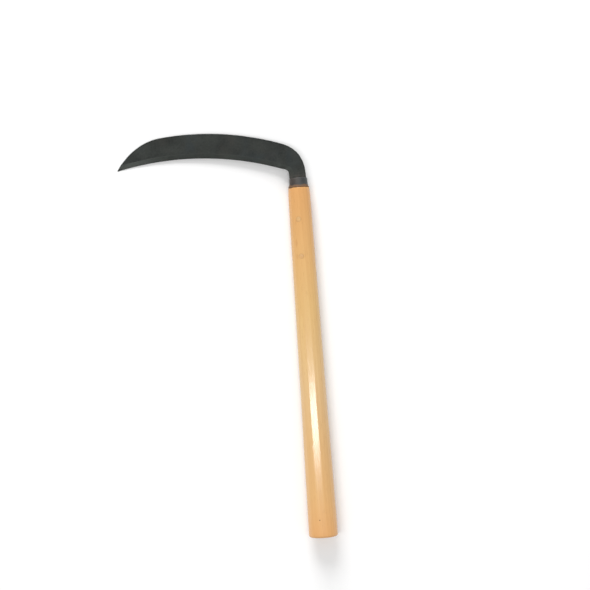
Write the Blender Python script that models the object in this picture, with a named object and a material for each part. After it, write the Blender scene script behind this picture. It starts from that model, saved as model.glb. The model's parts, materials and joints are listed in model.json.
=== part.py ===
"""A hand sickle with a single-bevel blade, lying on its side on a flat surface.

The sickle is laid out in its own tool axes, in millimetres. The origin is the middle of the handle's butt,
+Y runs up the handle to the head, the blade points along -X, and the blade's flat back faces -Z. The whole
tool hangs on one empty, which tilts it until the handle and the blade's tip both touch the surface Z = 0.
"""

import math

import bmesh
import bpy
import numpy as np
from mathutils import Vector

MM = 0.001
GAP = 0.3  # between two pieces that touch
CUT_PAST = 1.0  # how far a cutter reaches past the face that it cuts
SMOOTH_ANGLE = 40  # degrees between two faces of an oval piece that still shade as one

# handle: an oval stick, a little hollow along its length, with a tenon for the ferrule
HANDLE_LENGTH = 363.5
BUTT_WIDTH = 30.5
HEAD_WIDTH = 23.1
WAIST_HOLLOW = 0.45  # how much the width dips below a straight taper at mid-length
DEPTH_RATIO = 0.86  # depth over width
BUTT_ROUND = 2.2
HEAD_EASE_LENGTH = 14.0
HEAD_EASE = 0.4
HEAD_ROUND = 0.6
EASE_START_Y = HANDLE_LENGTH - HEAD_EASE_LENGTH
HANDLE_SIDES = 32
HANDLE_STATION = 32.0

# ferrule: a flared steel cup over the tenon, slotted for the tang
FERRULE_LENGTH = 9.8
FERRULE_FOOT = (21.8, 18.8)  # width and depth
FERRULE_TOP = (18.6, 16.8)
FERRULE_WALL = 1.2
FERRULE_FOOT_Y = HANDLE_LENGTH + GAP
FERRULE_TOP_Y = FERRULE_FOOT_Y + FERRULE_LENGTH
TENON_TOP_Y = FERRULE_TOP_Y - FERRULE_WALL - GAP

# blade: one forging of blade, neck and tang, flat on its back
TIP = (-188.4, 394.75)
TIP_BLUNT = 0.7
POINT_PULLS = ((-180.2, 408.6), (-163.9, 423.7))  # what the point's spine curves towards, up to the crest
CREST_CENTRE = (-111.6, 139.65)
CREST_RADIUS = 288.0
CREST_START_X = -142.0
CREST_END_X = -17.9
NECK_OUTER_X = 8.6
BEND_PULLS = ((0.9, 406.5), (NECK_OUTER_X, 394.0))  # the same for the bend, from the crest to the neck
EDGE_CENTRE = (-119.55, 93.7)
EDGE_RADIUS = 308.8
EDGE_CROSSINGS = (-140.0, -25.0)  # where the sections at the crest's two ends meet the cutting edge
EDGE_END_X = -13.2
NECK_INNER_X = -9.3
HEEL_PULLS = ((-10.4, 382.6), (NECK_INNER_X, 381.4))
HEEL_END_Y = 378.6
NECK_FOOT_Y = FERRULE_TOP_Y + GAP
BACK_Z = -2.5
TIP_THICKNESS = 1.2
BLADE_THICKNESS = 3.2
NECK_THICKNESS = 5.0
EDGE_THICKNESS = 0.5
BEVEL_WIDTH = 5.0
BEVEL_MOST = 0.45  # of the blade's width, where the blade is narrow
BEVEL_LINE_SHARE = 0.62  # of the spine's thickness, where the bevel starts
THIN_LENGTH = 60.0  # over which the point thins down to the tip
STEPS = {"point": 12, "belly": 18, "bend": 14}
INNER_BEND_STEPS = (5, 6, 3)  # the bend's sections along the edge, round the heel and down the neck
BLUNTING_STEPS = 6  # over which the edge thickens into the neck

# tang, inside the handle
TANG_TOP = {"centre": -0.6, "width": 9.8, "thickness": 3.2}
TANG_END = {"centre": -2.2, "width": 8.4, "thickness": 2.8}
TANG_END_Y = 284.0
MORTISE_DEEPER = 1.0  # than the tang's end

# wedge between the tang's front face and the mortise
WEDGE_TOP_THICKNESS = 1.6
WEDGE_END_THICKNESS = 0.6
WEDGE_END_Y = 336.0
WEDGE_NARROWER = 1.2

# pegs across the handle and the tang
PEG_X = -2.2
PEG_DIAMETER = 5.0
PEG_SIDES = 24
PEG_BELOW = 0.1  # the handle's surface
PEG_Y = {"tang_peg_upper": 330.2, "tang_peg_lower": 291.7}

FINISHES = {  # base colour, roughness, metallic
    "forged_steel": ((0.052, 0.056, 0.052), 0.55, 1.0),
    "ferrule_steel": ((0.100, 0.100, 0.095), 0.45, 1.0),
    "varnished_wood": ((0.76, 0.47, 0.21), 0.30, 0.0),
    "peg_wood": ((0.62, 0.37, 0.16), 0.45, 0.0),
    "wedge_wood": ((0.55, 0.36, 0.19), 0.60, 0.0),
}


# ---------------------------------------------------------------- helpers

def clear_scene():
    """Empties the scene of every object."""
    for old in list(bpy.data.objects):
        bpy.data.objects.remove(old, do_unlink=True)


def finish_material(name):
    """The named material, made once."""
    material = bpy.data.materials.get(name)
    if material is None:
        colour, roughness, metallic = FINISHES[name]
        material = bpy.data.materials.new(name)
        material.use_nodes = True
        shader = material.node_tree.nodes["Principled BSDF"]
        shader.inputs["Base Color"].default_value = (*colour, 1.0)
        shader.inputs["Roughness"].default_value = roughness
        shader.inputs["Metallic"].default_value = metallic
        material.diffuse_color = (*colour, 1.0)
    return material


def lerp(a, b, t):
    return a + (b - a) * t


def loft(name, rings, rig, material=None, smooth_angle=None):
    """A closed body through rings of (x, y, z) points in millimetres, capped at both ends."""
    mesh = bpy.data.meshes.new(name)
    shape = bmesh.new()
    loops = [[shape.verts.new(Vector(point) * MM) for point in ring] for ring in rings]
    count = len(rings[0])
    for lower, upper in zip(loops, loops[1:]):
        for i in range(count):
            j = (i + 1) % count
            shape.faces.new((lower[i], lower[j], upper[j], upper[i]))
    shape.faces.new(loops[0])
    shape.faces.new(loops[-1])
    bmesh.ops.recalc_face_normals(shape, faces=shape.faces)
    shape.to_mesh(mesh)
    shape.free()
    if smooth_angle is not None:
        mesh.shade_smooth()
        mesh.set_sharp_from_angle(angle=math.radians(smooth_angle))
    body = bpy.data.objects.new(name, mesh)
    bpy.context.scene.collection.objects.link(body)
    body.parent = rig
    if material is not None:
        mesh.materials.append(finish_material(material))
    return body


def make_cutter(body):
    """Marks a body as a Boolean's cutter, which isn't a piece of the sickle."""
    body.hide_render = True
    body.display_type = "WIRE"
    return body


def cut(body, cutter):
    """Cuts one body out of another."""
    modifier = body.modifiers.new(cutter.name, "BOOLEAN")
    modifier.operation = "DIFFERENCE"
    modifier.solver = "EXACT"
    modifier.object = cutter


def oval_ring(y, half_width, half_depth, sides=HANDLE_SIDES):
    """An upright ellipse across the handle at height y."""
    turns = [2 * math.pi * i / sides for i in range(sides)]
    return [(half_width * math.cos(a), y, half_depth * math.sin(a)) for a in turns]


def flat_ring(y, left, right, back, front):
    """A rectangle across the handle at height y."""
    return [(left, y, back), (right, y, back), (right, y, front), (left, y, front)]


def bezier(start, first, second, end, steps):
    """Points along a cubic Bezier curve, both ends included."""
    t = np.linspace(0, 1, steps + 1)[:, None]
    corners = [np.array(p, float) for p in (start, first, second, end)]
    weights = ((1 - t) ** 3, 3 * (1 - t) ** 2 * t, 3 * (1 - t) * t ** 2, t ** 3)
    return [tuple(p) for p in sum(w * c for w, c in zip(weights, corners))]


def arc_angle(centre, radius, x):
    """Where the upper half of a circle stands at x, as an angle from its top, positive towards +X."""
    return math.asin((x - centre[0]) / radius)


def arc(centre, radius, from_x, to_x, steps):
    """Points along the upper half of a circle between two x, both ends included."""
    ends = [arc_angle(centre, radius, x) for x in (from_x, to_x)]
    turns = np.linspace(*ends, steps + 1)
    return [(centre[0] + radius * math.sin(a), centre[1] + radius * math.cos(a)) for a in turns]


# ---------------------------------------------------------------- handle

def handle_halves(y):
    """The handle's half width and half depth at height y, before its ends are rounded."""
    u = y / HANDLE_LENGTH
    width = lerp(BUTT_WIDTH, HEAD_WIDTH, u) - 4 * WAIST_HOLLOW * u * (1 - u)
    return width / 2, width / 2 * DEPTH_RATIO


def handle_surface(x, y):
    """How far the handle's surface stands in front of the tool's mid plane."""
    half_width, half_depth = handle_halves(y)
    return half_depth * math.sqrt(1 - (x / half_width) ** 2)


def handle_rings():
    """The handle's rings, from the butt's flat face up to the end of the tenon."""
    stations = []  # height, and how far the surface is drawn in there
    for turn in (0, 30, 60, 90):
        angle = math.radians(turn)
        stations.append((BUTT_ROUND * (1 - math.cos(angle)), BUTT_ROUND * (1 - math.sin(angle))))
    count = round((EASE_START_Y - BUTT_ROUND) / HANDLE_STATION)
    stations += [(y, 0.0) for y in np.linspace(BUTT_ROUND, EASE_START_Y, count + 1)[1:]]
    for part in (0.5, 1.0):
        stations.append((lerp(EASE_START_Y, HANDLE_LENGTH - HEAD_ROUND, part), HEAD_EASE * part ** 2))
    for turn in (45, 90):
        angle = math.radians(turn)
        y = HANDLE_LENGTH - HEAD_ROUND * (1 - math.sin(angle))
        stations.append((y, HEAD_EASE + HEAD_ROUND * (1 - math.cos(angle))))
    rings = []
    for y, inset in stations:
        half_width, half_depth = handle_halves(y)
        rings.append(oval_ring(y, half_width - inset, half_depth - inset))
    less = FERRULE_WALL + GAP
    for y in (HANDLE_LENGTH, TENON_TOP_Y):
        width, depth = ferrule_size(max(y, FERRULE_FOOT_Y))
        rings.append(oval_ring(y, width / 2 - less, depth / 2 - less))
    return rings


def mortise_rings():
    """The mortise, from above the tenon to its blind end: the tang's room, and the wedge's beside it."""
    rings = []
    for y in (TENON_TOP_Y + CUT_PAST, WEDGE_END_Y - GAP, TANG_END_Y - MORTISE_DEEPER):
        left, right, half = tang_section(y)
        room = wedge_thickness(y) + GAP if y > TANG_END_Y else 0.0
        rings.append(flat_ring(y, left - GAP, right + GAP, -half - GAP, half + GAP + room))
    return rings


def build_handle(rig):
    handle = loft("handle", handle_rings(), rig, "varnished_wood", smooth_angle=SMOOTH_ANGLE)
    cut(handle, make_cutter(loft("mortise", mortise_rings(), rig)))
    for name, y in PEG_Y.items():
        cut(handle, peg_bore(name, y, rig))
    return handle


# ---------------------------------------------------------------- ferrule

def ferrule_size(y):
    """The ferrule's outer width and depth at height y."""
    t = (y - FERRULE_FOOT_Y) / FERRULE_LENGTH
    return tuple(lerp(foot, top, t) for foot, top in zip(FERRULE_FOOT, FERRULE_TOP))


def build_ferrule(rig):
    """A cup, lofted from its inner ceiling down inside, round the foot and up outside."""
    ceiling_y = FERRULE_TOP_Y - FERRULE_WALL
    inside = [(ceiling_y, FERRULE_WALL), (FERRULE_FOOT_Y, FERRULE_WALL)]
    outside = [(FERRULE_FOOT_Y, 0.0), (FERRULE_TOP_Y, 0.0)]
    rings = []
    for y, wall in inside + outside:
        width, depth = ferrule_size(y)
        rings.append(oval_ring(y, width / 2 - wall, depth / 2 - wall))
    ferrule = loft("ferrule", rings, rig, "ferrule_steel", smooth_angle=SMOOTH_ANGLE)
    left, right, half = tang_section(NECK_FOOT_Y)
    slot = [flat_ring(y, left - GAP, right + GAP, -half - GAP, half + GAP)
            for y in (ceiling_y - CUT_PAST, FERRULE_TOP_Y + CUT_PAST)]
    cut(ferrule, make_cutter(loft("ferrule_slot", slot, rig)))
    return ferrule


# ---------------------------------------------------------------- blade

def spine_points():
    """The blade's outer line from the tip, over the crest and round the bend to the foot of the neck."""
    crest = arc(CREST_CENTRE, CREST_RADIUS, CREST_START_X, CREST_END_X, STEPS["belly"])
    tip = (TIP[0], TIP[1] + TIP_BLUNT)
    point = bezier(tip, *POINT_PULLS, crest[0], STEPS["point"])
    bend = bezier(crest[-1], *BEND_PULLS, (NECK_OUTER_X, NECK_FOOT_Y), STEPS["bend"])
    return point[:-1] + crest[:-1] + bend


def edge_points():
    """The cutting edge from the tip to the heel, and the inside of the neck below it, point for point."""
    last_steps, heel_steps, neck_steps = INNER_BEND_STEPS
    stops = (TIP[0], *EDGE_CROSSINGS, EDGE_END_X)
    edge = [arc(EDGE_CENTRE, EDGE_RADIUS, start, end, count)
            for start, end, count in zip(stops, stops[1:], (STEPS["point"], STEPS["belly"], last_steps))]
    heel = bezier(edge[-1][-1], *HEEL_PULLS, (NECK_INNER_X, HEEL_END_Y), heel_steps)
    neck = [(NECK_INNER_X, y) for y in np.linspace(HEEL_END_Y, NECK_FOOT_Y, neck_steps + 1)]
    return [point for run in (*edge, heel) for point in run[:-1]] + neck


def blade_ring(spine, edge, thickness, edge_thickness):
    """One cross-section: the flat back, the thin edge, the bevel and the front, which thins towards it."""
    across = Vector(spine) - Vector(edge)
    bevel = Vector(edge) + across.normalized() * min(BEVEL_WIDTH, BEVEL_MOST * across.length)
    bevel_thickness = max(edge_thickness, BEVEL_LINE_SHARE * thickness)
    back_face = [(*spine, BACK_Z), (*edge, BACK_Z), (*edge, BACK_Z + edge_thickness)]
    return back_face + [(*bevel, BACK_Z + bevel_thickness), (*spine, BACK_Z + thickness)]


def blade_rings():
    """Sections from the tip to the foot of the neck, then the tang below its square shoulder."""
    spine, edge = spine_points(), edge_points()
    straight = STEPS["point"] + STEPS["belly"]
    rings = []
    for i, (outer, inner) in enumerate(zip(spine, edge)):
        tip_part = min(1.0, math.dist(inner, TIP) / THIN_LENGTH)
        neck_part = max(0.0, (i - straight) / STEPS["bend"])
        thickness = lerp(TIP_THICKNESS, BLADE_THICKNESS, tip_part)
        thickness = lerp(thickness, NECK_THICKNESS, neck_part)
        blunt = min(1.0, max(0.0, (i - straight + 1) / BLUNTING_STEPS))
        rings.append(blade_ring(outer, inner, thickness, lerp(EDGE_THICKNESS, thickness, blunt)))
    for y in (NECK_FOOT_Y, TANG_END_Y):
        left, right, half = tang_section(y)
        middle = (left + right) / 2
        back_face = [(right, y, -half), (left, y, -half)]
        rings.append(back_face + [(left, y, half), (middle, y, half), (right, y, half)])
    return rings


def tang_section(y):
    """The tang's left side, right side and half thickness at height y."""
    t = (y - TANG_END_Y) / (NECK_FOOT_Y - TANG_END_Y)
    centre, width, thickness = (lerp(TANG_END[k], TANG_TOP[k], t) for k in ("centre", "width", "thickness"))
    return centre - width / 2, centre + width / 2, thickness / 2


def build_blade(rig):
    blade = loft("blade", blade_rings(), rig, "forged_steel")
    for name, y in PEG_Y.items():
        cut(blade, peg_bore(name, y, rig))
    return blade


# ---------------------------------------------------------------- wedge and pegs

def wedge_thickness(y):
    t = (y - WEDGE_END_Y) / (TENON_TOP_Y - WEDGE_END_Y)
    return lerp(WEDGE_END_THICKNESS, WEDGE_TOP_THICKNESS, t)


def build_wedge(rig):
    """A thin wedge, driven in beside the tang from the top of the tenon."""
    rings = []
    for y in (TENON_TOP_Y - GAP, WEDGE_END_Y):
        left, right, half = tang_section(y)
        side = WEDGE_NARROWER / 2
        back = half + GAP
        rings.append(flat_ring(y, left + side, right - side, back, back + wedge_thickness(y)))
    return loft("tang_wedge", rings, rig, "wedge_wood")


def peg_ring(y, radius, height):
    """A circle round a peg, with each point at the height that a function of x and y gives."""
    turns = [2 * math.pi * i / PEG_SIDES for i in range(PEG_SIDES)]
    places = [(PEG_X + radius * math.cos(a), y + radius * math.sin(a)) for a in turns]
    return [(px, py, height(px, py)) for px, py in places]


def peg_bore(name, y, rig):
    """The cutter of one peg's bore, made once for the handle and the tang."""
    cutter = bpy.data.objects.get(name + "_bore")
    if cutter is None:
        radius = PEG_DIAMETER / 2 + GAP
        past = BUTT_WIDTH / 2
        rings = [peg_ring(y, radius, lambda px, py, z=z: z) for z in (-past, past)]
        cutter = make_cutter(loft(name + "_bore", rings, rig))
    return cutter


def build_peg(name, y, rig):
    """A round peg whose two ends lie flush with the handle's oval surface."""
    radius = PEG_DIAMETER / 2
    back = peg_ring(y, radius, lambda px, py: PEG_BELOW - handle_surface(px, py))
    front = peg_ring(y, radius, lambda px, py: handle_surface(px, py) - PEG_BELOW)
    return loft(name, [back, front], rig, "peg_wood", smooth_angle=SMOOTH_ANGLE)


# ---------------------------------------------------------------- placing

def rest_angles():
    """Pitch and roll that lay the handle's underside and the blade's tip on one plane."""
    low_y, high_y = BUTT_ROUND, EASE_START_Y
    butt, head = handle_halves(low_y)[1], handle_halves(high_y)[1]
    slope = (head - butt) / (high_y - low_y)
    tip_drop = head + slope * (TIP[1] - high_y)
    roll = math.asin(tip_drop / math.hypot(TIP[0], BACK_Z)) - math.atan(BACK_Z / TIP[0])
    return math.atan(slope), -roll


def settle(rig):
    """Tilts the tool to its resting attitude, stands it on Z = 0 and centres its outline on the origin."""
    pitch, roll = rest_angles()
    rig.rotation_mode = "YXZ"
    rig.rotation_euler = (pitch, roll, 0.0)
    bpy.context.view_layer.update()
    pieces = [child for child in rig.children if not child.hide_render]
    places = [piece.matrix_world @ vertex.co for piece in pieces for vertex in piece.data.vertices]
    corners = np.array(places)
    low, high = corners.min(axis=0), corners.max(axis=0)
    rig.location = (-(low[0] + high[0]) / 2, -(low[1] + high[1]) / 2, -low[2])
    bpy.context.view_layer.update()


def main():
    clear_scene()
    rig = bpy.data.objects.new("sickle_rig", None)
    bpy.context.scene.collection.objects.link(rig)
    build_handle(rig)
    build_ferrule(rig)
    build_blade(rig)
    build_wedge(rig)
    for name, y in PEG_Y.items():
        build_peg(name, y, rig)
    settle(rig)


main()
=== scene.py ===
"""The looks of a hand sickle: forged blade, steel ferrule and varnished handle with flush pegs.

Every piece is modelled in the tool's own axes, in metres. The origin is the middle of the
handle's butt, +Y runs up the handle, the blade points along -X and its flat back faces -Z.
Overall sizes and places come from the frame, and the detail from the values named below.
"""
import json
import math

import bmesh
import bpy
import numpy as np
from mathutils import Matrix, Vector, noise


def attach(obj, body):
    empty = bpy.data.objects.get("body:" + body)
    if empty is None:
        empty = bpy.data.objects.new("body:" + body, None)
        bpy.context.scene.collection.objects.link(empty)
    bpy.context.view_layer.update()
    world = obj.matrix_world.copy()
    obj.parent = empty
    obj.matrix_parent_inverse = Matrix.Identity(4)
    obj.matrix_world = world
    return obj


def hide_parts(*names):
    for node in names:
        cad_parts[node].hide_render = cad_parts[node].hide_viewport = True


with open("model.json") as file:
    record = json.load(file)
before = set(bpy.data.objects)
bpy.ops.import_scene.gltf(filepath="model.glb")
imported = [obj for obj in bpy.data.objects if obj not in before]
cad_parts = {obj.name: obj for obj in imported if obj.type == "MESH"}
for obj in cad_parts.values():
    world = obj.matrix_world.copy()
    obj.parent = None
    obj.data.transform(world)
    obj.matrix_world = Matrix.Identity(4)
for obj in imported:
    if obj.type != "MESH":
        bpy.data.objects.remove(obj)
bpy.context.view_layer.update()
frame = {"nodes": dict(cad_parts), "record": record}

MM = 0.001

# fits and cuts
CAD_GAP = 0.3 * MM  # between two CAD pieces that touch
FITTED_GAP = 0.08 * MM  # between pieces that are driven or glued together
INSIDE = 0.01 * MM  # how far from a piece's end its section is measured
WELL_INSIDE = 0.1 * MM  # the same beside the corners of the tang and the wedge
SAME_PLACE = 0.01 * MM  # CAD corners nearer than this are one
CUT_PAST = 1 * MM
SMOOTH_ANGLE = 35  # degrees between two faces that still shade as one
BLADE_SMOOTH_ANGLE = 28

# handle
HANDLE_SIDES = 120
HANDLE_STEP = 2.5 * MM
BUTT_ROUND = 2.2 * MM
BUTT_TAPER_SPAN = 20 * MM  # the stretch whose taper is carried on down to the butt's face
HEAD_ROUND = 0.6 * MM
TENON_ROUND = 0.5 * MM
SHAVED_DEPTH = 0.10 * MM
SHAVED_SIZE = 9 * MM
SHAVED_STRETCH = 5  # how much longer than wide a shaved hollow is

# ferrule
FERRULE_SIDES = 96
FERRULE_WALL = 1.2 * MM
FERRULE_CEILING_ROUND = 0.4 * MM
FERRULE_INNER_EDGE = 0.3 * MM  # the chamfer inside its foot
FERRULE_LIP = 0.35 * MM  # the radius of the rolled rim
FERRULE_TOP_ROUND = 0.9 * MM
FERRULE_WAIST = 0.45 * MM  # how far the wall is drawn in between its rim and its top
FERRULE_BEATEN_INSET = 0.6 * FERRULE_WALL  # rings nearer the outside than this are beaten
DENT_DEPTH = 0.16 * MM
DENT_SIZE = 3.2 * MM

# blade
BEVEL_WIDTH = 5.0 * MM
BEVEL_MOST = 0.45  # of the blade's width at most, where the blade is narrow
BEVEL_LINE_SHARE = 0.62  # of the spine's thickness, where the bevel starts
BEVEL_LINE_ROUND = 0.25 * MM
EDGE_ROUND = 0.05 * MM
SECTIONS = (70, 130, 110)  # rings in the point, the belly and the bend
SPINE_CROSSINGS = (-142 * MM, -17.9 * MM)  # x where the sections between those three cross the spine
EDGE_CROSSINGS = (-140 * MM, -25 * MM)  # and the cutting edge
BELLY_MIDDLE = 1.5  # counted in those stretches from the tip
SIDE_POINTS = (10, 1, 5, 12, 3)  # on a section's back, edge, bevel, front and spine
CORNER_POINTS = 4
CORNER_MOST = 0.45  # of a side that a rounded corner takes
CURVE_STEPS = 12  # between two points of the CAD's outline
NECK_STARTS = 0.35  # the edge's share of the spine's thickness where the bevel runs out
TANG_FROM_EDGE = 20 * MM  # any distance well beyond the bevel
SPINE_ROUND = 0.5 * MM
NECK_ROUND = 1.8 * MM
TANG_ROUND = 0.4 * MM
SHARP_EDGE = 0.25 * MM
BROAD_HOLLOWS = (13 * MM, 0.10 * MM, 0.25 * MM)  # size, depth on the blade and what the neck adds
FINE_HOLLOWS = (3.6 * MM, 0.04 * MM, 0.10 * MM)
SPINE_DENTS = (4.5 * MM, 0.30 * MM)  # size and depth
FLAT_BACK_SHARE = 0.25  # of the hollows' depth that the flat back keeps
NECK_SWELL = 0.3 * MM

# pegs
PEGS = ("tang_peg_upper", "tang_peg_lower")
PEG_SIDES = 48
PEG_END_RINGS = 8
PEG_BELOW = 0.06 * MM  # how far below the handle's surface its ends lie
PEG_RIM = (0.08 * MM, 0.14 * MM)  # how wide its worn rim is, and how far below the surface it ends

# colours
RING_SPACING = 2.6 * MM
RING_WANDER = 9 * MM  # how far the rings stray along the stick
PITH = (38 * MM, -70 * MM)  # x and z of the rings' middle
BROWN_ABOVE_FERRULE = 9 * MM

# camera and light
CAMERA_HEIGHT = 1.4
CAMERA_LENS = 81.4
SENSOR_WIDTH = 36.0
VIEW_CENTRE = (-11.85 * MM, 252.3 * MM)  # in tool axes
VIEW_TURN = math.radians(4.09)  # how far the tool leans to the left in the view
FLOOR_HALF = 4.0
SURROUND_STRENGTH = 0.495


# ---------------------------------------------------------------- the tool's axes and the frame's sizes

def tool_matrix():
    """The tool's axes in the frame, from the butt's face and the blade's flat back."""
    mounts = {mount["name"]: mount for mount in frame["record"]["mounts"]}
    along = -Vector(mounts["butt_face"]["axis"]).normalized()
    out = -Vector(mounts["blade_back"]["axis"])
    out = (out - out.project(along)).normalized()
    matrix = Matrix((along.cross(out), along, out)).transposed().to_4x4()
    matrix.translation = Vector(mounts["butt_face"]["pos_m"])
    return matrix


TOOL = tool_matrix()
TO_TOOL = TOOL.inverted()


def tool_triangles(node):
    """A CAD node's triangles in tool axes, as an array of corners."""
    mesh = frame["nodes"][node].data
    mesh.calc_loop_triangles()
    points = np.array([TO_TOOL @ vertex.co for vertex in mesh.vertices])
    return points[np.array([triangle.vertices[:] for triangle in mesh.loop_triangles])]


TRIANGLES = {node: tool_triangles(node) for node in frame["nodes"]}


def node_box(node):
    """Lowest and highest corner of a CAD node in tool axes."""
    corners = TRIANGLES[node].reshape(-1, 3)
    return corners.min(axis=0), corners.max(axis=0)


def section(node, height):
    """Left, right, back and front of a CAD node where the plane at this height cuts it."""
    triangles = TRIANGLES[node]
    found = []
    for first, second in ((0, 1), (1, 2), (2, 0)):
        a, b = triangles[:, first], triangles[:, second]
        crossing = (a[:, 1] - height) * (b[:, 1] - height) < 0
        a, b = a[crossing], b[crossing]
        share = ((height - a[:, 1]) / (b[:, 1] - a[:, 1]))[:, None]
        found.append(a + share * (b - a))
    points = np.concatenate(found)
    return points[:, 0].min(), points[:, 0].max(), points[:, 2].min(), points[:, 2].max()


def half_sizes(node, height):
    """Half width and half depth of a CAD node at this height."""
    left, right, back, front = section(node, height)
    return (right - left) / 2, (front - back) / 2


FERRULE_FOOT_Y = node_box("ferrule")[0][1]
FERRULE_TOP_Y = node_box("ferrule")[1][1]
HANDLE_TOP_Y = FERRULE_FOOT_Y - CAD_GAP  # the shoulder that the ferrule stands on
TENON_TOP_Y = node_box("handle")[1][1]
TANG_END_Y = node_box("blade")[0][1]


# ---------------------------------------------------------------- mesh helpers

def make_object(name, shape):
    """An object in tool axes from a bmesh, shaded smooth between its sharp edges."""
    bmesh.ops.recalc_face_normals(shape, faces=shape.faces)
    mesh = bpy.data.meshes.new(name)
    shape.to_mesh(mesh)
    shape.free()
    mesh.shade_smooth()
    mesh.set_sharp_from_angle(angle=math.radians(SMOOTH_ANGLE))
    made = bpy.data.objects.new(name, mesh)
    bpy.context.scene.collection.objects.link(made)
    return made


def loft(rings):
    """A closed bmesh through rings of equal count, capped at both ends."""
    shape = bmesh.new()
    loops = [[shape.verts.new(point) for point in ring] for ring in rings]
    count = len(loops[0])
    for lower, upper in zip(loops, loops[1:]):
        for i in range(count):
            j = (i + 1) % count
            shape.faces.new((lower[i], lower[j], upper[j], upper[i]))
    shape.faces.new(loops[0])
    shape.faces.new(loops[-1])
    return shape


def cut(body, *cutters, smooth_angle=SMOOTH_ANGLE):
    """Cuts bodies out of another for good, removes them and marks its sharp edges again."""
    for cutter in cutters:
        modifier = body.modifiers.new("cut", "BOOLEAN")
        modifier.operation = "DIFFERENCE"
        modifier.solver = "EXACT"
        modifier.object = cutter
    evaluated = body.evaluated_get(bpy.context.evaluated_depsgraph_get())
    mesh = bpy.data.meshes.new_from_object(evaluated)
    body.modifiers.clear()
    body.data = mesh
    for cutter in cutters:
        bpy.data.objects.remove(cutter)
    mesh.set_sharp_from_angle(angle=math.radians(smooth_angle))


def oval(height, half_width, half_depth, sides):
    turns = [2 * math.pi * i / sides for i in range(sides)]
    return [(half_width * math.cos(a), height, half_depth * math.sin(a)) for a in turns]


def rectangle(height, left, right, back, front):
    return [(left, height, back), (right, height, back), (right, height, front), (left, height, front)]


def quarter(radius, steps):
    """(distance from the end, inset) along a quarter round, from the end face outwards."""
    turns = [math.pi / 2 * i / steps for i in range(steps + 1)]
    return [(radius * (1 - math.cos(a)), radius * (1 - math.sin(a))) for a in turns]


def swell(point, size, seed):
    """Smooth noise between 0 and 1, with bumps about as long as size."""
    place = Vector(point) / size + Vector((seed, 2.3 * seed, 5.1 * seed))
    return 0.5 + 0.5 * max(-1.0, min(1.0, 1.4 * noise.noise(place)))


def smoothstep(low, high, value):
    t = max(0.0, min(1.0, (value - low) / (high - low)))
    return t * t * (3 - 2 * t)


# ---------------------------------------------------------------- handle

def handle_size(height):
    """Half width and half depth of the wood at this height, before its ends are rounded."""
    low, high = BUTT_ROUND + INSIDE, HANDLE_TOP_Y - HEAD_ROUND - INSIDE
    if height < low:
        near, far = (half_sizes("handle", low + step) for step in (0.0, BUTT_TAPER_SPAN))
        reach = (low - height) / BUTT_TAPER_SPAN
        return tuple(a + (a - b) * reach for a, b in zip(near, far))
    return half_sizes("handle", min(height, high))


def handle_surface(x, height):
    """How far the wood's surface stands in front of the tool's mid plane."""
    half_width, half_depth = handle_size(height)
    return half_depth * math.sqrt(1 - (x / half_width) ** 2)


def handle_stations():
    """(height, inset) of each ring of the wood from the butt's face up to the shoulder."""
    stations = quarter(BUTT_ROUND, 8)
    high = HANDLE_TOP_Y - HEAD_ROUND
    count = round((high - BUTT_ROUND) / HANDLE_STEP)
    stations += [(y, 0.0) for y in np.linspace(BUTT_ROUND, high, count + 1)[1:-1]]
    stations += [(HANDLE_TOP_Y - drop, inset) for drop, inset in reversed(quarter(HEAD_ROUND, 5))]
    return stations


def mortise_cutter():
    """The tang's room and the wedge's beside it, down to the mortise's blind end."""
    wedge_low, wedge_high = (corner[1] for corner in node_box("tang_wedge"))
    gap = FITTED_GAP
    rings = []
    for height in (wedge_high, wedge_low, TANG_END_Y):
        inside = min(max(height, TANG_END_Y + WELL_INSIDE), wedge_high - WELL_INSIDE)
        left, right, back, front = section("blade", inside)
        if height > TANG_END_Y:
            wedge_at = min(max(height, wedge_low + WELL_INSIDE), wedge_high - WELL_INSIDE)
            front = section("tang_wedge", wedge_at)[3]
        rings.append(rectangle(height, left - gap, right + gap, back - gap, front + gap))
    above = [(x, TENON_TOP_Y + CUT_PAST, z) for x, _, z in rings[0]]
    below = [(x, TANG_END_Y - CUT_PAST, z) for x, _, z in rings[-1]]
    return make_object("mortise", loft([above, *rings, below]))


def bore_cutter(node):
    """The round bore of one peg, right through the tool."""
    x, y, radius = peg_place(node)
    past = node_box(node)[1][2] * 2
    rings = [[(x + radius * math.cos(a), y + radius * math.sin(a), z)
              for a in (2 * math.pi * i / PEG_SIDES for i in range(PEG_SIDES))] for z in (-past, past)]
    return make_object("bore", loft(rings))


def build_handle():
    """The oval stick with its tenon, mortise and peg bores, a little uneven from hand shaving."""
    rings = []
    for height, inset in handle_stations():
        half_width, half_depth = handle_size(height)
        ring = []
        for x, y, z in oval(height, half_width - inset, half_depth - inset, HANDLE_SIDES):
            uneven = SHAVED_DEPTH * swell((x, y / SHAVED_STRETCH, z), SHAVED_SIZE, seed=3.0)
            keep = 1 - uneven / math.hypot(x, z)
            ring.append((x * keep, y, z * keep))
        rings.append(ring)
    less = FERRULE_WALL + FITTED_GAP
    for drop, inset in [(TENON_TOP_Y - HANDLE_TOP_Y, 0.0)] + quarter(TENON_ROUND, 4)[::-1]:
        height = TENON_TOP_Y - drop
        half_width, half_depth = ferrule_size(height)
        rings.append(oval(height, half_width - less - inset, half_depth - less - inset, HANDLE_SIDES))
    handle = make_object("wooden_handle", loft(rings))
    cut(handle, mortise_cutter(), *(bore_cutter(node) for node in PEGS))
    return handle


# ---------------------------------------------------------------- ferrule

def ferrule_size(height):
    """Half width and half depth of the CAD ferrule at this height."""
    return half_sizes("ferrule", min(max(height, FERRULE_FOOT_Y + INSIDE), FERRULE_TOP_Y - INSIDE))


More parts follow.
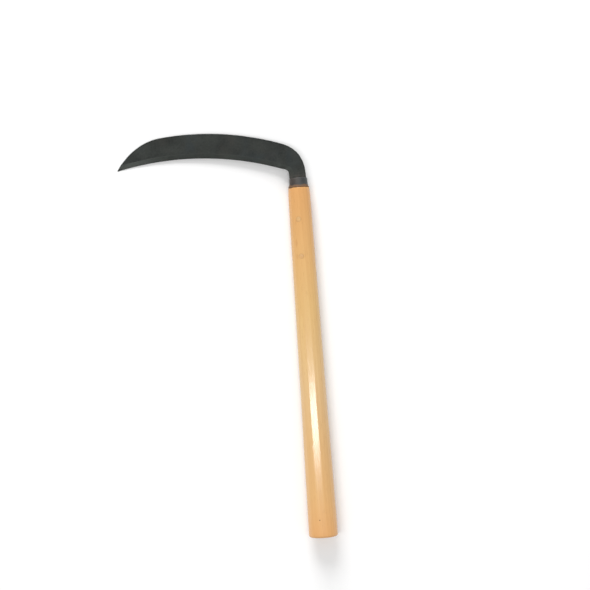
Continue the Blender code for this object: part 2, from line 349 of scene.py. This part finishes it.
def ferrule_profile():
    """(height, inset) from the ceiling down inside, round the lip and up outside to the top."""
    ceiling = FERRULE_TOP_Y - FERRULE_WALL
    profile = [(ceiling, FERRULE_WALL + FERRULE_CEILING_ROUND),
               (ceiling - FERRULE_CEILING_ROUND, FERRULE_WALL),
               (FERRULE_FOOT_Y + FERRULE_INNER_EDGE, FERRULE_WALL),
               (FERRULE_FOOT_Y, FERRULE_WALL - FERRULE_INNER_EDGE)]
    for turn in range(0, 181, 30):
        angle = math.radians(turn)
        height = FERRULE_FOOT_Y + FERRULE_LIP * (1 - math.cos(angle))
        profile.append((height, FERRULE_LIP * (1 - math.sin(angle))))
    body_low, body_high = profile[-1][0], FERRULE_TOP_Y - FERRULE_TOP_ROUND
    for share in np.linspace(0.1, 1.0, 10):
        drawn_in = FERRULE_WAIST * math.sin(math.pi * min(1.0, share * 1.15) ** 0.7)
        inset = drawn_in + FERRULE_LIP * (1 - share)
        profile.append((body_low + share * (body_high - body_low), inset))
    for drop, inset in reversed(quarter(FERRULE_TOP_ROUND, 6)):
        profile.append((FERRULE_TOP_Y - drop, inset))
    return profile


def build_ferrule():
    """A flared cup with a small lip at its foot, a rounded top edge and a slot for the tang."""
    rings = []
    for height, inset in ferrule_profile():
        half_width, half_depth = ferrule_size(height)
        outer = inset < FERRULE_BEATEN_INSET
        ring = []
        for x, y, z in oval(height, half_width - inset, half_depth - inset, FERRULE_SIDES):
            beaten = DENT_DEPTH * swell((x, y, z), DENT_SIZE, seed=8.0) if outer else 0.0
            keep = 1 - beaten / math.hypot(x, z)
            ring.append((x * keep, y, z * keep))
        rings.append(ring)
    ferrule = make_object("ferrule_cup", loft(rings))
    left, right, back, front = section("blade", FERRULE_TOP_Y - WELL_INSIDE)
    gap = FITTED_GAP
    slot = [rectangle(y, left - gap, right + gap, back - gap, front + gap)
            for y in (FERRULE_TOP_Y - FERRULE_WALL - CUT_PAST, FERRULE_TOP_Y + CUT_PAST)]
    cut(ferrule, make_object("slot", loft(slot)))
    return ferrule


# ---------------------------------------------------------------- blade

def blade_outline():
    """The CAD blade's spine and its cutting edge, each from the tip to the foot of the neck."""
    shape = bmesh.new()
    shape.from_mesh(frame["nodes"]["blade"].data)
    shape.transform(TO_TOOL)
    bmesh.ops.remove_doubles(shape, verts=shape.verts, dist=SAME_PLACE)
    floor = min(vertex.co.z for vertex in shape.verts) + SAME_PLACE
    back = {face for face in shape.faces if all(vertex.co.z < floor for vertex in face.verts)}
    rim = [edge for edge in shape.edges if sum(face in back for face in edge.link_faces) == 1]
    beside = {}
    for edge in rim:
        for vertex in edge.verts:
            beside.setdefault(vertex, []).append(edge.other_vert(vertex))
    tip_edge, tip_spine = sorted(sorted(beside, key=lambda v: v.co.x)[:2], key=lambda v: v.co.y)
    spine_side = next(v for v in beside[tip_spine] if v is not tip_edge)
    walk = [tip_spine, spine_side]
    while walk[-1] is not tip_edge:
        walk.append(next(v for v in beside[walk[-1]] if v is not walk[-2]))
    line = np.array([vertex.co.to_2d() for vertex in walk])
    shape.free()
    foot = int(np.argmin(line[:, 1] - 1e-3 * line[:, 0]))  # the lowest, and the rightmost of equals
    return line[:foot + 1], line[foot + 1:][::-1]


def with_thickness(line):
    """An outline's points with how thick the CAD blade is at each, as (x, y, thickness)."""
    corners = TRIANGLES["blade"].reshape(-1, 3)
    back = corners[:, 2].min()
    thick = []
    for point in line:
        near = np.hypot(*(corners[:, :2] - point).T) < 2 * SAME_PLACE
        thick.append(corners[near][:, 2].max() - back)
    return np.column_stack([line, thick])


def smooth_line(points):
    """A dense smooth curve through (x, y, ...) points, with the distance along it at each place."""
    spans = np.linalg.norm(np.diff(points[:, :2], axis=0), axis=1)
    reach = np.concatenate([[0], np.cumsum(spans)])
    slopes = np.gradient(points, reach, axis=0)
    places = np.linspace(0, len(spans), len(spans) * CURVE_STEPS + 1)
    low = np.minimum(places.astype(int), len(spans) - 1)
    t = (places - low)[:, None]
    span = spans[low][:, None]
    line = ((2 * t ** 3 - 3 * t ** 2 + 1) * points[low] + (t ** 3 - 2 * t ** 2 + t) * span * slopes[low]
            + (3 * t ** 2 - 2 * t ** 3) * points[low + 1] + (t ** 3 - t ** 2) * span * slopes[low + 1])
    along = np.concatenate([[0], np.cumsum(np.linalg.norm(np.diff(line[:, :2], axis=0), axis=1))])
    return line, along


def paired_points(points, crossings, shares):
    """Points of an outline where the sections cross it, given the x of the sections at 1, 2, ..."""
    line, along = smooth_line(points)
    marks = [0.0] + [along[np.argmax(line[:, 0] > x)] for x in crossings] + [along[-1]]
    distance = np.interp(shares, range(len(marks)), marks)
    return np.column_stack([np.interp(distance, along, column) for column in line.T])


def rounded_ring(corners, radii):
    """A five-sided ring of (across, height) points with rounded corners."""
    corners = [np.array(corner, float) for corner in corners]
    count = len(corners)
    arcs = []
    for i, corner in enumerate(corners):
        before, after = corners[i - 1] - corner, corners[(i + 1) % count] - corner
        lengths = np.linalg.norm(before), np.linalg.norm(after)
        reach = min(radii[i], CORNER_MOST * lengths[0], CORNER_MOST * lengths[1])
        start = corner + before / max(lengths[0], 1e-9) * reach
        end = corner + after / max(lengths[1], 1e-9) * reach
        arcs.append([(1 - t) ** 2 * start + 2 * t * (1 - t) * corner + t ** 2 * end
                     for t in np.linspace(0, 1, CORNER_POINTS)])
    ring = []
    for i, turn in enumerate(arcs):
        ring += turn
        start, end = turn[-1], arcs[(i + 1) % count][0]
        ring += [start + (end - start) * t for t in np.linspace(0, 1, SIDE_POINTS[i] + 2)[1:-1]]
    return ring


def blade_section(spine, edge, thick, edge_thick, back, neck):
    """One ring of the blade: (x, y, z) points, and how far each is from the cutting edge."""
    across = spine - edge
    width = np.linalg.norm(across)
    across = across / width
    bevel = min(BEVEL_WIDTH, BEVEL_MOST * width)
    sharp = min(edge_thick, SHARP_EDGE)
    thin = sharp + (edge_thick - sharp) * neck
    bevel_thick = max(edge_thick, BEVEL_LINE_SHARE * thick)
    corners = [(width, 0), (0, 0), (0, thin), (bevel, bevel_thick), (width, thick)]
    soft = SPINE_ROUND + (NECK_ROUND - SPINE_ROUND) * neck
    edge_round = EDGE_ROUND + soft * neck
    ring = rounded_ring(corners, [soft, edge_round, edge_round, BEVEL_LINE_ROUND, soft])
    points = [(*(edge + across * w), back + z) for w, z in ring]
    return points, [w for w, _ in ring]


def tang_rings():
    """The tang below the shoulder, with as many points to a ring as the blade has."""
    rings = []
    foot = FERRULE_TOP_Y + CAD_GAP
    for height in (foot, foot - 1 * MM, (foot + TANG_END_Y) / 2, TANG_END_Y + 2 * MM, TANG_END_Y):
        inside = min(max(height, TANG_END_Y + INSIDE), foot - INSIDE)
        left, right, back, front = section("blade", inside)
        middle = (left + right) / 2
        corners = [(right, back), (left, back), (left, front), (middle, front), (right, front)]
        rings.append([(x, height, z) for x, z in rounded_ring(corners, [TANG_ROUND] * 5)])
    return rings


def forge(blade):
    """Draws the surface in where the hammer and the scale have left it uneven."""
    mesh = blade.data
    distance = mesh.attributes["edge_distance"].data
    necks = mesh.attributes["neck"].data
    normals = [vertex.normal.copy() for vertex in mesh.vertices]
    for i, vertex in enumerate(mesh.vertices):
        place, normal, neck = vertex.co.copy(), normals[i], necks[i].value
        free = max(smoothstep(0.9 * BEVEL_WIDTH, 1.8 * BEVEL_WIDTH, distance[i].value), neck)
        hollow = 0.0
        for (size, depth, more_at_neck), seed in ((BROAD_HOLLOWS, 1.0), (FINE_HOLLOWS, 4.0)):
            hollow += swell(place, size, seed) * (depth + more_at_neck * neck)
        if normal.z < -0.5 and neck < 0.5:
            hollow *= FLAT_BACK_SHARE
        dent_size, dent_depth = SPINE_DENTS
        dent = (1 - abs(normal.z)) * dent_depth * swell(place, dent_size, seed=7.0)
        vertex.co = place - normal * (free * (hollow + dent) - NECK_SWELL * neck)


def build_blade():
    """The whole forging: blade, neck and tang."""
    back = node_box("blade")[0][2]
    spine, edge = (with_thickness(line) for line in blade_outline())
    stretches = [np.linspace(i, i + 1, count + 1)[:-1] for i, count in enumerate(SECTIONS)]
    shares = np.concatenate([*stretches, [len(SECTIONS)]])
    spine = paired_points(spine, SPINE_CROSSINGS, shares)
    edge = paired_points(edge, EDGE_CROSSINGS, shares)
    rings, distances, necks = [], [], []
    for share, outer, inner in zip(shares, spine, edge):
        neck = smoothstep(NECK_STARTS, 1.0, inner[2] / outer[2]) if share > BELLY_MIDDLE else 0.0
        ring, far = blade_section(outer[:2], inner[:2], outer[2], inner[2], back, neck)
        rings.append(ring)
        distances += far
        necks += [neck] * len(ring)
    for ring in tang_rings():
        rings.append(ring)
        distances += [TANG_FROM_EDGE] * len(ring)
        necks += [0.0] * len(ring)
    blade = make_object("forged_blade", loft(rings))
    for name, values in (("edge_distance", distances), ("neck", necks)):
        layer = blade.data.attributes.new(name, "FLOAT", "POINT")
        layer.data.foreach_set("value", values)
    forge(blade)
    cut(blade, *(bore_cutter(node) for node in PEGS), smooth_angle=BLADE_SMOOTH_ANGLE)
    return blade


# ---------------------------------------------------------------- pegs

def peg_place(node):
    """A peg's place across the handle, its height and the radius of its bore."""
    low, high = node_box(node)
    return (low[0] + high[0]) / 2, (low[1] + high[1]) / 2, (high[0] - low[0]) / 2 + 2 * FITTED_GAP


def build_peg(node):
    """A round peg with its ends pared flush with the oval handle."""
    x, y, radius = peg_place(node)
    radius -= FITTED_GAP
    shares = [(i + 0.3) / PEG_END_RINGS for i in range(PEG_END_RINGS)]
    rim_width, rim_below = PEG_RIM
    ends = [(share * (radius - rim_width) / shares[-1], PEG_BELOW) for share in shares]
    ends.append((radius, rim_below))
    rings = []
    for side, profile in ((1, ends), (-1, ends[::-1])):
        for reach, below in profile:
            turns = (2 * math.pi * i / PEG_SIDES for i in range(PEG_SIDES))
            places = [(x + reach * math.cos(a), y + reach * math.sin(a)) for a in turns]
            rings.append([(px, py, side * (handle_surface(px, py) - below)) for px, py in places])
    return make_object(node.replace("tang_peg", "wooden_peg"), loft(rings))


# ---------------------------------------------------------------- materials

def srgb(red, green, blue):
    """A colour given on the 0 to 255 display scale, as linear light with alpha."""
    shares = [value / 255 for value in (red, green, blue)]
    return (*(c / 12.92 if c <= 0.04045 else ((c + 0.055) / 1.055) ** 2.4 for c in shares), 1.0)


class Paint:
    """One procedural material. Coordinates are the tool's own, in metres."""

    def __init__(self, name, constants):
        self.material = bpy.data.materials.new(name)
        self.material.use_nodes = True
        self.tree = self.material.node_tree
        self.shader = self.tree.nodes["Principled BSDF"]
        for socket, value in constants.items():
            self.shader.inputs[socket].default_value = value
        frame_place = self.node("TexCoord", {}).outputs["Object"]
        to_tool = {"Vector": frame_place, "Location": TOOL.translation, "Rotation": TOOL.to_euler()}
        self.place = self.node("Mapping", to_tool, vector_type="TEXTURE").outputs[0]
        axes = self.node("SeparateXYZ", {0: self.place})
        self.x, self.y, self.z = axes.outputs

    def node(self, kind, inputs, **settings):
        made = self.tree.nodes.new("ShaderNode" + kind)
        for key, value in settings.items():
            setattr(made, key, value)
        for key, value in inputs.items():
            if isinstance(value, bpy.types.NodeSocket):
                self.tree.links.new(value, made.inputs[key])
            else:
                made.inputs[key].default_value = value
        return made

    def math(self, operation, a, b=0.0, clamp=False):
        return self.node("Math", {0: a, 1: b}, operation=operation, use_clamp=clamp).outputs[0]

    def total(self, start, *terms):
        """start plus every (value, weight), each value counted from its middle at 0.5."""
        for value, weight in terms:
            centred = self.math("SUBTRACT", value, 0.5)
            start = self.math("ADD", start, self.math("MULTIPLY", centred, weight))
        return self.math("ADD", start, 0.0, clamp=True)

    def noise(self, scale, detail=3.0, rough=0.55, warp=0.0):
        """Noise with a feature about 1 / scale long along each axis."""
        scale = scale if isinstance(scale, tuple) else (scale,) * 3
        spread = self.node("Mapping", {"Vector": self.place, "Scale": scale})
        inputs = {"Vector": spread.outputs[0], "Scale": 1.0, "Detail": detail, "Roughness": rough,
                  "Distortion": warp}
        return self.node("TexNoise", inputs).outputs["Fac"]

    def between(self, value, low, high, start=0.0, end=1.0):
        """value taken from low..high to start..end, smoothly and clamped."""
        inputs = {"Value": value, "From Min": low, "From Max": high, "To Min": start, "To Max": end}
        return self.node("MapRange", inputs, interpolation_type="SMOOTHSTEP").outputs[0]

    def mix(self, share, a, b):
        return self.node("Mix", {0: share, 6: a, 7: b}, data_type="RGBA").outputs[2]

    def tint(self, colour, mask, weight, other):
        """colour with up to weight of the other where the mask is 1."""
        return self.mix(self.math("MULTIPLY", mask, weight), colour, other)

    def ramp(self, value, stops):
        made = self.node("ValToRGB", {0: value})
        elements = made.color_ramp.elements
        while len(elements) < len(stops):
            elements.new(1.0)
        for element, (place, colour) in zip(elements, stops):
            element.position = place
            element.color = colour
        return made.outputs[0]

    def spot(self, x, y, half_width, half_length):
        """1 inside an oval mark on the tool's front, fading to 0 at its rim."""
        across = self.math("DIVIDE", self.math("SUBTRACT", self.x, x), half_width)
        along = self.math("DIVIDE", self.math("SUBTRACT", self.y, y), half_length)
        squares = [self.math("MULTIPLY", part, part) for part in (across, along)]
        square = self.math("ADD", *squares)
        front = self.between(self.z, 0.0, 1 * MM)
        return self.math("MULTIPLY", self.between(square, 0.2, 1.2, 1.0, 0.0), front)

    def bump(self, *layers):
        """Bumps from (height, metres of relief), the finest last."""
        normal = None
        for height, relief in layers:
            inputs = {"Height": height, "Distance": relief, "Strength": 1.0}
            if normal is not None:
                inputs["Normal"] = normal
            normal = self.node("Bump", inputs).outputs[0]
        self.tree.links.new(normal, self.shader.inputs["Normal"])

    def drive(self, socket, value):
        self.tree.links.new(value, self.shader.inputs[socket])


def growth_rings(paint):
    """Yearly rings round a pith that lies beside the stick, a little wavy along it."""
    wander = paint.noise((14, 3, 14), detail=1.0)
    shift = paint.math("MULTIPLY", paint.math("SUBTRACT", wander, 0.5), RING_WANDER)
    moved = paint.node("CombineXYZ", {0: shift, 1: 0.0, 2: shift}).outputs[0]
    place = paint.node("VectorMath", {0: paint.place, 1: moved}, operation="ADD").outputs[0]
    place = paint.node("Mapping", {"Vector": place, "Location": (-PITH[0], 0.0, -PITH[1])}).outputs[0]
    scale = 2 * math.pi / (20 * RING_SPACING)  # the wave turns 20 radians to a unit
    inputs = {"Vector": place, "Scale": scale, "Distortion": 0.6, "Detail": 2.0, "Detail Scale": 0.8}
    wave = paint.node("TexWave", inputs, wave_type="RINGS", rings_direction="Y", wave_profile="SAW")
    return wave.outputs["Fac"]


def handle_wood():
    """Pale straight-grained wood under a clear, slightly yellow varnish, with painted sheen paler in the
    middle of its length.
    """
    paint = Paint("varnished_handle_wood", {"Coat Weight": 1.0, "Coat Roughness": 0.13, "Coat IOR": 1.6,
                                            "Specular IOR Level": 0.0})
    along = paint.math("DIVIDE", paint.y, HANDLE_TOP_Y, clamp=True)
    # partly the wood's own tone along its length, partly painted sheen: the paler, less yellow middle
    # (stops 0.12 to 0.66) stands in for the varnish's broad gloss
    light = paint.ramp(along, [(0.0, srgb(231, 177, 115)), (0.12, srgb(230, 187, 126)),
                               (0.4, srgb(227, 193, 141)), (0.66, srgb(227, 190, 126)),
                               (0.8, srgb(228, 183, 119)), (1.0, srgb(225, 170, 106))])
    dark = paint.ramp(along, [(0.0, srgb(196, 133, 76)), (0.5, srgb(196, 146, 86)),
                              (1.0, srgb(188, 127, 70))])
    rings = growth_rings(paint)
    fibre = paint.noise((900, 16, 900), detail=4.0)
    streak = paint.noise((240, 5, 240), detail=2.0)
    blotch = paint.noise((35, 12, 35), detail=2.0)
    pores = paint.between(paint.noise((2400, 90, 2400), detail=2.0), 0.62, 0.72)
    share = paint.total(0.30, (rings, 0.10), (fibre, 0.22), (streak, 0.16), (blotch, 0.24))
    colour = paint.mix(share, light, dark)
    colour = paint.tint(colour, pores, 0.30, srgb(150, 98, 52))
    upper_mark = paint.spot(x=-6.2 * MM, y=306 * MM, half_width=1.1 * MM, half_length=5 * MM)
    lower_mark = paint.spot(x=-6.4 * MM, y=291.6 * MM, half_width=1.0 * MM, half_length=3.5 * MM)
    marks = paint.math("MAXIMUM", upper_mark, lower_mark)
    colour = paint.tint(colour, marks, 0.26, srgb(178, 118, 66))
    knot = paint.spot(x=-2.4 * MM, y=18.8 * MM, half_width=0.7 * MM, half_length=0.8 * MM)
    colour = paint.tint(colour, knot, 0.75, srgb(92, 60, 40))
    # a ragged brown band at the wood's top, where it meets the ferrule
    ragged = paint.math("MULTIPLY", paint.noise((260, 260, 260), detail=2.0), 3.2 * MM)
    top = paint.math("ADD", paint.y, ragged)
    joint_brown = paint.between(top, HANDLE_TOP_Y + 0.6 * MM, HANDLE_TOP_Y + 2.2 * MM)
    colour = paint.tint(colour, joint_brown, 0.85, srgb(112, 82, 54))
    paint.drive("Base Color", colour)
    paint.drive("Roughness", paint.between(fibre, 0.3, 0.7, 0.32, 0.42))
    paint.bump((streak, 0.03 * MM), (fibre, 0.015 * MM), (pores, -0.03 * MM))
    return paint.material


def peg_wood():
    """End grain of the pegs, darker than the handle where it has drunk the varnish."""
    paint = Paint("peg_end_grain", {"Coat Weight": 1.0, "Coat Roughness": 0.22, "Specular IOR Level": 0.3})
    grain = paint.noise((1500, 1500, 60), detail=3.0)
    rings = paint.noise((500, 160, 30), detail=1.0)
    share = paint.total(0.45, (grain, 0.7), (rings, 0.5))
    colour = paint.mix(share, srgb(228, 184, 118), srgb(176, 122, 70))
    paint.drive("Base Color", colour)
    paint.drive("Roughness", paint.between(grain, 0.3, 0.7, 0.45, 0.60))
    paint.bump((grain, 0.04 * MM))
    return paint.material


def wedge_wood():
    """Bare split hardwood."""
    paint = Paint("bare_wedge_wood", {"Specular IOR Level": 0.3})
    fibre = paint.noise((1200, 25, 1200), detail=4.0)
    share = paint.total(0.5, (fibre, 1.1))
    paint.drive("Base Color", paint.mix(share, srgb(206, 168, 118), srgb(140, 100, 60)))
    paint.drive("Roughness", paint.between(fibre, 0.3, 0.7, 0.60, 0.80))
    paint.bump((fibre, 0.08 * MM))
    return paint.material


def blade_steel():
    """Forging scale, dark and faintly green; lighter on the bevel from thinner scale and painted light, on
    sharp edges from rubbing and painted glint, and at the neck from painted light.
    """
    paint = Paint("black_forging_scale", {"Metallic": 0.85, "Specular IOR Level": 0.5})
    patch = paint.noise(42, detail=3.0, warp=0.4)
    grain = paint.noise(520, detail=5.0, rough=0.65)
    speck = paint.noise(1500, detail=2.0)
    share = paint.total(0.5, (patch, 1.6), (grain, 1.2), (speck, 0.4))
    colour = paint.mix(share, srgb(33, 35, 34), srgb(61, 64, 61))
    warm = paint.between(paint.noise(26, detail=2.0, warp=1.0), 0.52, 0.70)
    colour = paint.tint(colour, warm, 0.45, srgb(62, 58, 54))
    cool = paint.between(paint.noise(31, detail=2.0, warp=0.6), 0.50, 0.68)
    colour = paint.tint(colour, cool, 0.35, srgb(48, 56, 60))
    distance = paint.node("Attribute", {}, attribute_name="edge_distance").outputs["Fac"]
    neck = paint.node("Attribute", {}, attribute_name="neck").outputs["Fac"]
    bevel = paint.between(distance, BEVEL_WIDTH - 0.4 * MM, BEVEL_WIDTH + 0.3 * MM, 1.0, 0.0)
    # lighter on the bevel: partly thinner scale on the ground bevel, partly painted light against the
    # shade its tilt away from the key gets
    colour = paint.tint(colour, bevel, 0.30, srgb(70, 74, 70))
    # lighter on sharp convex edges: partly rubbed steel, partly painted glint where the rounded edges
    # catch the light
    corner = paint.node("NewGeometry", {}).outputs["Pointiness"]
    worn_and_glint = paint.math("MULTIPLY", paint.between(corner, 0.52, 0.60), paint.between(grain, 0.35, 0.6))
    colour = paint.tint(colour, worn_and_glint, 0.6, srgb(112, 114, 108))
    # painted light: the neck drawn lighter, where its rounding catches the light
    colour = paint.tint(colour, neck, 0.20, srgb(74, 77, 73))
    brown_end = FERRULE_TOP_Y + BROWN_ABOVE_FERRULE
    near_ferrule = paint.between(paint.y, FERRULE_TOP_Y, brown_end, 1.0, 0.0)
    brown = paint.math("MULTIPLY", near_ferrule, paint.between(grain, 0.35, 0.65))
    colour = paint.tint(colour, brown, 0.45, srgb(86, 76, 72))
    paint.drive("Base Color", colour)
    rough = paint.total(0.50, (grain, 0.35), (patch, 0.25))
    paint.drive("Roughness", paint.math("SUBTRACT", rough, paint.math("MULTIPLY", bevel, 0.08)))
    pits = paint.between(paint.noise(1100, detail=2.0), 0.30, 0.42, 1.0, 0.0)
    paint.bump((patch, 0.20 * MM), (grain, 0.12 * MM), (pits, -0.06 * MM))
    return paint.material


def ferrule_steel():
    """Grey steel, with painted light tinting it a little brown at its left and blue at its right, and
    brown at its foot beside the wood.
    """
    paint = Paint("grey_ferrule_steel", {"Specular IOR Level": 0.4})
    patch = paint.noise(160, detail=3.0)
    grain = paint.noise(900, detail=4.0, rough=0.6)
    share = paint.total(0.5, (patch, 0.9), (grain, 0.7))
    colour = paint.mix(share, srgb(56, 55, 53), srgb(91, 90, 87))
    # painted light: the left side tinted brown and the right side bluish, as the two sides' different
    # light and reflections
    side = paint.between(paint.x, -9 * MM, 9 * MM)
    painted_side_tints = paint.mix(side, srgb(92, 78, 72), srgb(82, 91, 95))
    colour = paint.mix(0.40, colour, painted_side_tints)
    # a ragged brown band along the foot where it meets the wood, also less metallic and rougher there
    ragged = paint.math("MULTIPLY", paint.noise((230, 230, 230), detail=3.0), 3.4 * MM)
    above = paint.math("SUBTRACT", paint.math("SUBTRACT", paint.y, FERRULE_FOOT_Y), ragged)
    joint_brown = paint.between(above, 0.0, 1.2 * MM, 1.0, 0.0)
    colour = paint.tint(colour, joint_brown, 0.85, srgb(116, 86, 60))
    paint.drive("Base Color", colour)
    paint.drive("Metallic", paint.math("SUBTRACT", 0.6, paint.math("MULTIPLY", joint_brown, 0.5)))
    rough = paint.total(0.52, (grain, 0.3), (patch, 0.2))
    paint.drive("Roughness", paint.math("ADD", rough, paint.math("MULTIPLY", joint_brown, 0.25)))
    paint.bump((patch, 0.10 * MM), (grain, 0.07 * MM))
    return paint.material


def plain_floor():
    """A plain white floor."""
    constants = {"Base Color": srgb(248, 248, 248), "Roughness": 0.9, "Specular IOR Level": 0.1}
    return Paint("white_floor", constants).material


def wear(piece, material):
    """Gives a piece its only material."""
    piece.data.materials.clear()
    piece.data.materials.append(material)


# ---------------------------------------------------------------- floor, light and camera

def build_floor():
    floor_mesh = bpy.data.meshes.new("floor")
    corners = [(x * FLOOR_HALF, y * FLOOR_HALF, 0.0) for x, y in ((-1, -1), (1, -1), (1, 1), (-1, 1))]
    floor_mesh.from_pydata(corners, [], [(0, 1, 2, 3)])
    floor = bpy.data.objects.new("floor", floor_mesh)
    bpy.context.scene.collection.objects.link(floor)
    wear(floor, plain_floor())


def floor_axes(turn):
    """The view's centre on the floor, with right and up directions turned this far from the handle's."""
    centre = TOOL @ Vector((*VIEW_CENTRE, 0.0))
    up = TOOL.to_3x3() @ Vector((math.sin(turn), math.cos(turn), 0.0))
    up = Vector((up.x, up.y, 0.0)).normalized()
    right = up.cross(Vector((0.0, 0.0, 1.0)))
    return Vector((centre.x, centre.y, 0.0)), right, up


def aim(lamp, target, up):
    """Points a lamp at a target, with its length along up."""
    away = (lamp.location - target).normalized()
    side = up.cross(away).normalized()
    lamp.rotation_euler = Matrix((side, away.cross(side), away)).transposed().to_euler()


def build_lamp(name, place, width, length, power, target):
    """A rectangular lamp. place is across the handle, along it and up from the view's centre."""
    centre, right, up = floor_axes(0.0)
    light = bpy.data.lights.new(name, "AREA")
    light.shape = "RECTANGLE"
    light.size = width
    light.size_y = length
    light.energy = power
    lamp = bpy.data.objects.new(name, light)
    bpy.context.scene.collection.objects.link(lamp)
    lamp.location = centre + right * place[0] + up * place[1] + Vector((0.0, 0.0, place[2]))
    aim(lamp, centre + right * target[0] + up * target[1], up)


def build_light():
    """A big soft key beyond the head, a strip overhead for the varnish and a white surround."""
    build_lamp("key_softbox", place=(-0.50, 4.60, 2.10), width=2.5, length=2.8,
               power=232.0, target=(0.0, 0.0))
    build_lamp("overhead_strip", place=(-0.24, -0.24, 1.9), width=1.75, length=0.15,
               power=12.9, target=(-0.02, -0.11))
    world = bpy.data.worlds.new("white_surround")
    bpy.context.scene.world = world
    world.use_nodes = True
    background = world.node_tree.nodes["Background"]
    background.inputs["Color"].default_value = (1.0, 1.0, 1.0, 1.0)
    background.inputs["Strength"].default_value = SURROUND_STRENGTH


def build_camera():
    """Straight above the view's centre, looking down."""
    centre, right, up = floor_axes(VIEW_TURN)
    data = bpy.data.cameras.new("camera")
    data.lens = CAMERA_LENS
    data.sensor_width = SENSOR_WIDTH
    camera = bpy.data.objects.new("camera", data)
    bpy.context.scene.collection.objects.link(camera)
    camera.location = centre + Vector((0.0, 0.0, CAMERA_HEIGHT))
    away = Vector((0.0, 0.0, 1.0))
    camera.rotation_euler = Matrix((right, up, away)).transposed().to_euler()
    bpy.context.scene.camera = camera


# ---------------------------------------------------------------- the object

def place_piece(piece, node, material):
    """Turns a finished piece from the tool's axes to the frame's, in the place of its CAD node."""
    piece.data.transform(TOOL)
    wear(piece, material)
    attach(piece, "root")
    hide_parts(node)


build_camera()
build_light()
build_floor()
bpy.context.scene.view_settings.view_transform = "Standard"

place_piece(build_handle(), "handle", handle_wood())
place_piece(build_ferrule(), "ferrule", ferrule_steel())
place_piece(build_blade(), "blade", blade_steel())
end_grain = peg_wood()
for peg in PEGS:
    place_piece(build_peg(peg), peg, end_grain)
wear(frame["nodes"]["tang_wedge"], wedge_wood())  # hidden in the mortise, so its CAD body stays
